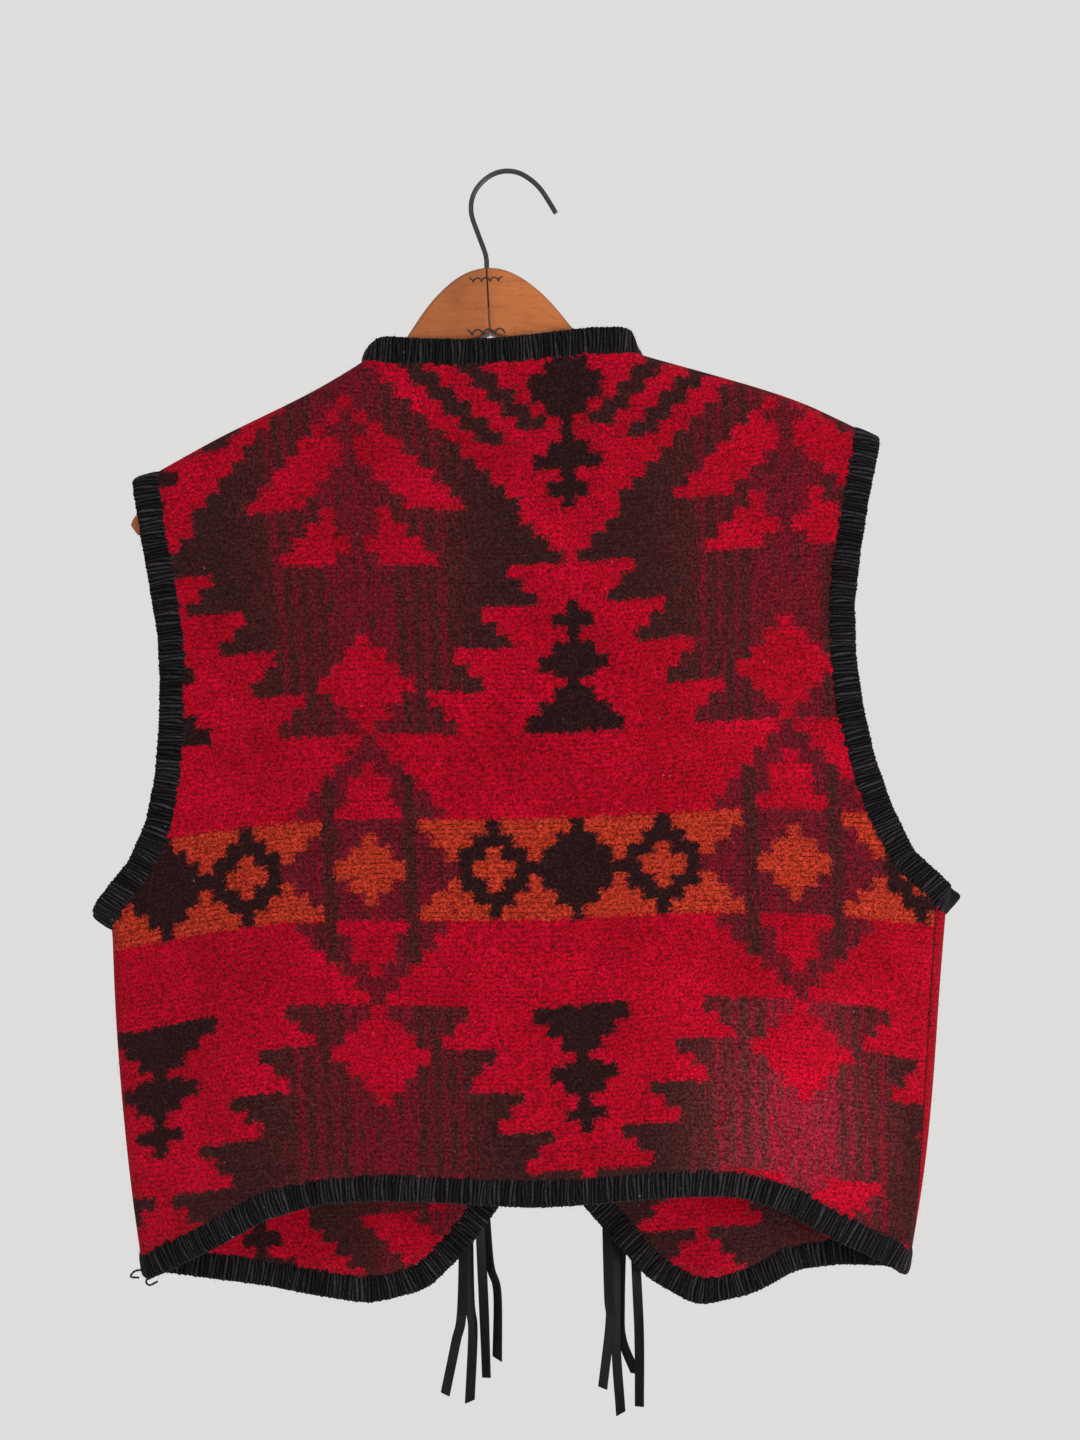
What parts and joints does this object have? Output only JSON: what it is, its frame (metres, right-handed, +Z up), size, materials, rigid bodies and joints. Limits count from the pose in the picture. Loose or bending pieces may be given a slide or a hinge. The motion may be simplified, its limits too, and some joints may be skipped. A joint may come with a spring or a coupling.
{
  "type": "western vest on a hanger",
  "caption": "Sleeveless western vest of red and brown jacquard wool with black yarn bindings and leather ties, hung on a wooden hanger.",
  "frame": {"origin": "inner crown of the hanger's hook, where a rail or nail holds it", "axes": "+Z up, -Y towards the vest's back, which is the side shown, +X to the right as seen from the back"},
  "size_m": [0.555, 0.0626, 0.8078],
  "materials": {
    "wool": "brushed jacquard wool, red ground with dark brown, maroon and orange figures",
    "yarn": "black yarn wrapped over the edge",
    "leather": "matt black",
    "wood": "old clear varnish",
    "wire": "darkened"
  },
  "bodies": {
    "root": {"back_panel": "wool", "front_left_panel": "wool", "front_right_panel": "wool", "back_neck_binding": "yarn", "back_hem_binding": "yarn", "armhole_binding_left": "yarn", "armhole_binding_right": "yarn", "front_binding_left": "yarn", "front_binding_right": "yarn", "tie_left": "leather", "tie_right": "leather", "hanger_arm_left": "wood", "hanger_arm_right": "wood", "hanger_hook": "wire"}
  },
  "joints": []
}
